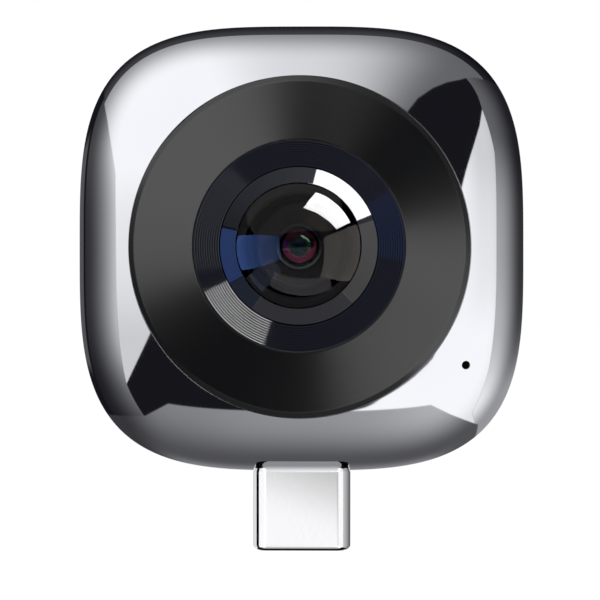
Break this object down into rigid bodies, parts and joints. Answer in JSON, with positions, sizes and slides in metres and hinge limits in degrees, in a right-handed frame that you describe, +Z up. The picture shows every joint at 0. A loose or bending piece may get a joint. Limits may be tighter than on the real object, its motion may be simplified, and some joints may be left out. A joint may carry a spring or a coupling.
{
  "type": "360 degree camera",
  "caption": "Rounded square mirror-finish pocket camera with a domed fisheye lens in a black conical ring on each face and a phone plug underneath.",
  "frame": {"origin": "where the plug's axis leaves the underside of the body", "axes": "+Z up, opposite to the plug's direction of insertion; -Y towards the front lens, which the picture shows; +X to the right in that view"},
  "size_m": [0.0376, 0.0292, 0.0442],
  "materials": {
    "plated_shell": "mirror-polished grey plating",
    "black_trim": "satin black, finely textured",
    "bonding_tape": "double-sided foam tape",
    "grooved_black": "black anodised, fine turned grooves",
    "polished_black": "polished black anodised",
    "coated_glass": "polished, blue and green anti-reflection coating",
    "lens_glass": "polished, coated",
    "lens_black": "matte black anodised",
    "seal_rubber": "matte",
    "holder_plastic": "glass-filled black plastic",
    "filter_glass": "polished blue-green filter glass",
    "sensor_package": "black package with a dark iridescent array",
    "circuit_board": "green solder mask",
    "cast_aluminium": "die-cast, satin",
    "chip_epoxy": "moulded epoxy",
    "thermal_pad": "soft silicone",
    "tinned_steel": "bright tinned sheet",
    "ceramic_parts": "sintered ceramic",
    "flex_film": "amber polyimide film",
    "connector_plastic": "moulded cream plastic",
    "screw_steel": "bright zinc plated",
    "steel_mesh": "fine woven mesh",
    "plug_steel": "polished stainless steel",
    "plug_plastic": "moulded black plastic",
    "gold_contacts": "gold plated",
    "spring_steel": "rolled spring steel"
  },
  "bodies": {
    "root": {"board_chips": "chip_epoxy", "board_components": "ceramic_parts", "board_screws": "screw_steel", "chassis": "cast_aluminium", "flex_connectors": "connector_plastic", "front_aperture_stop": "lens_black", "front_baffle_ring": "grooved_black", "front_dome_lens": "coated_glass", "front_fourth_lens": "lens_glass", "front_image_sensor": "sensor_package", "front_infrared_filter": "filter_glass", "front_lens_barrel": "lens_black", "front_lens_holder": "holder_plastic", "front_lens_retainer": "polished_black", "front_lens_seal": "seal_rubber", "front_lock_ring": "lens_black", "front_ring_tape": "bonding_tape", "front_second_lens": "lens_glass", "front_sensor_board": "circuit_board", "front_sensor_flex": "flex_film", "front_shell": "plated_shell", "front_third_lens": "lens_glass", "front_trim_ring": "black_trim", "image_processor": "chip_epoxy", "main_board": "circuit_board", "microphone": "tinned_steel", "microphone_boot": "seal_rubber", "microphone_mesh": "steel_mesh", "module_screws": "screw_steel", "plug_anchor": "plug_plastic", "plug_card": "circuit_board", "plug_contacts": "gold_contacts", "plug_insulator": "plug_plastic", "plug_latch": "spring_steel", "plug_shell": "plug_steel", "rear_aperture_stop": "lens_black", "rear_baffle_ring": "grooved_black", "rear_dome_lens": "coated_glass", "rear_fourth_lens": "lens_glass", "rear_image_sensor": "sensor_package", "rear_infrared_filter": "filter_glass", "rear_lens_barrel": "lens_black", "rear_lens_holder": "holder_plastic", "rear_lens_retainer": "polished_black", "rear_lens_seal": "seal_rubber", "rear_lock_ring": "lens_black", "rear_ring_tape": "bonding_tape", "rear_second_lens": "lens_glass", "rear_sensor_board": "circuit_board", "rear_sensor_flex": "flex_film", "rear_shell": "plated_shell", "rear_third_lens": "lens_glass", "rear_trim_ring": "black_trim", "shell_screws": "screw_steel", "shield_can": "tinned_steel", "stack_header": "connector_plastic", "stack_socket": "connector_plastic", "thermal_pad": "thermal_pad"}
  },
  "joints": []
}
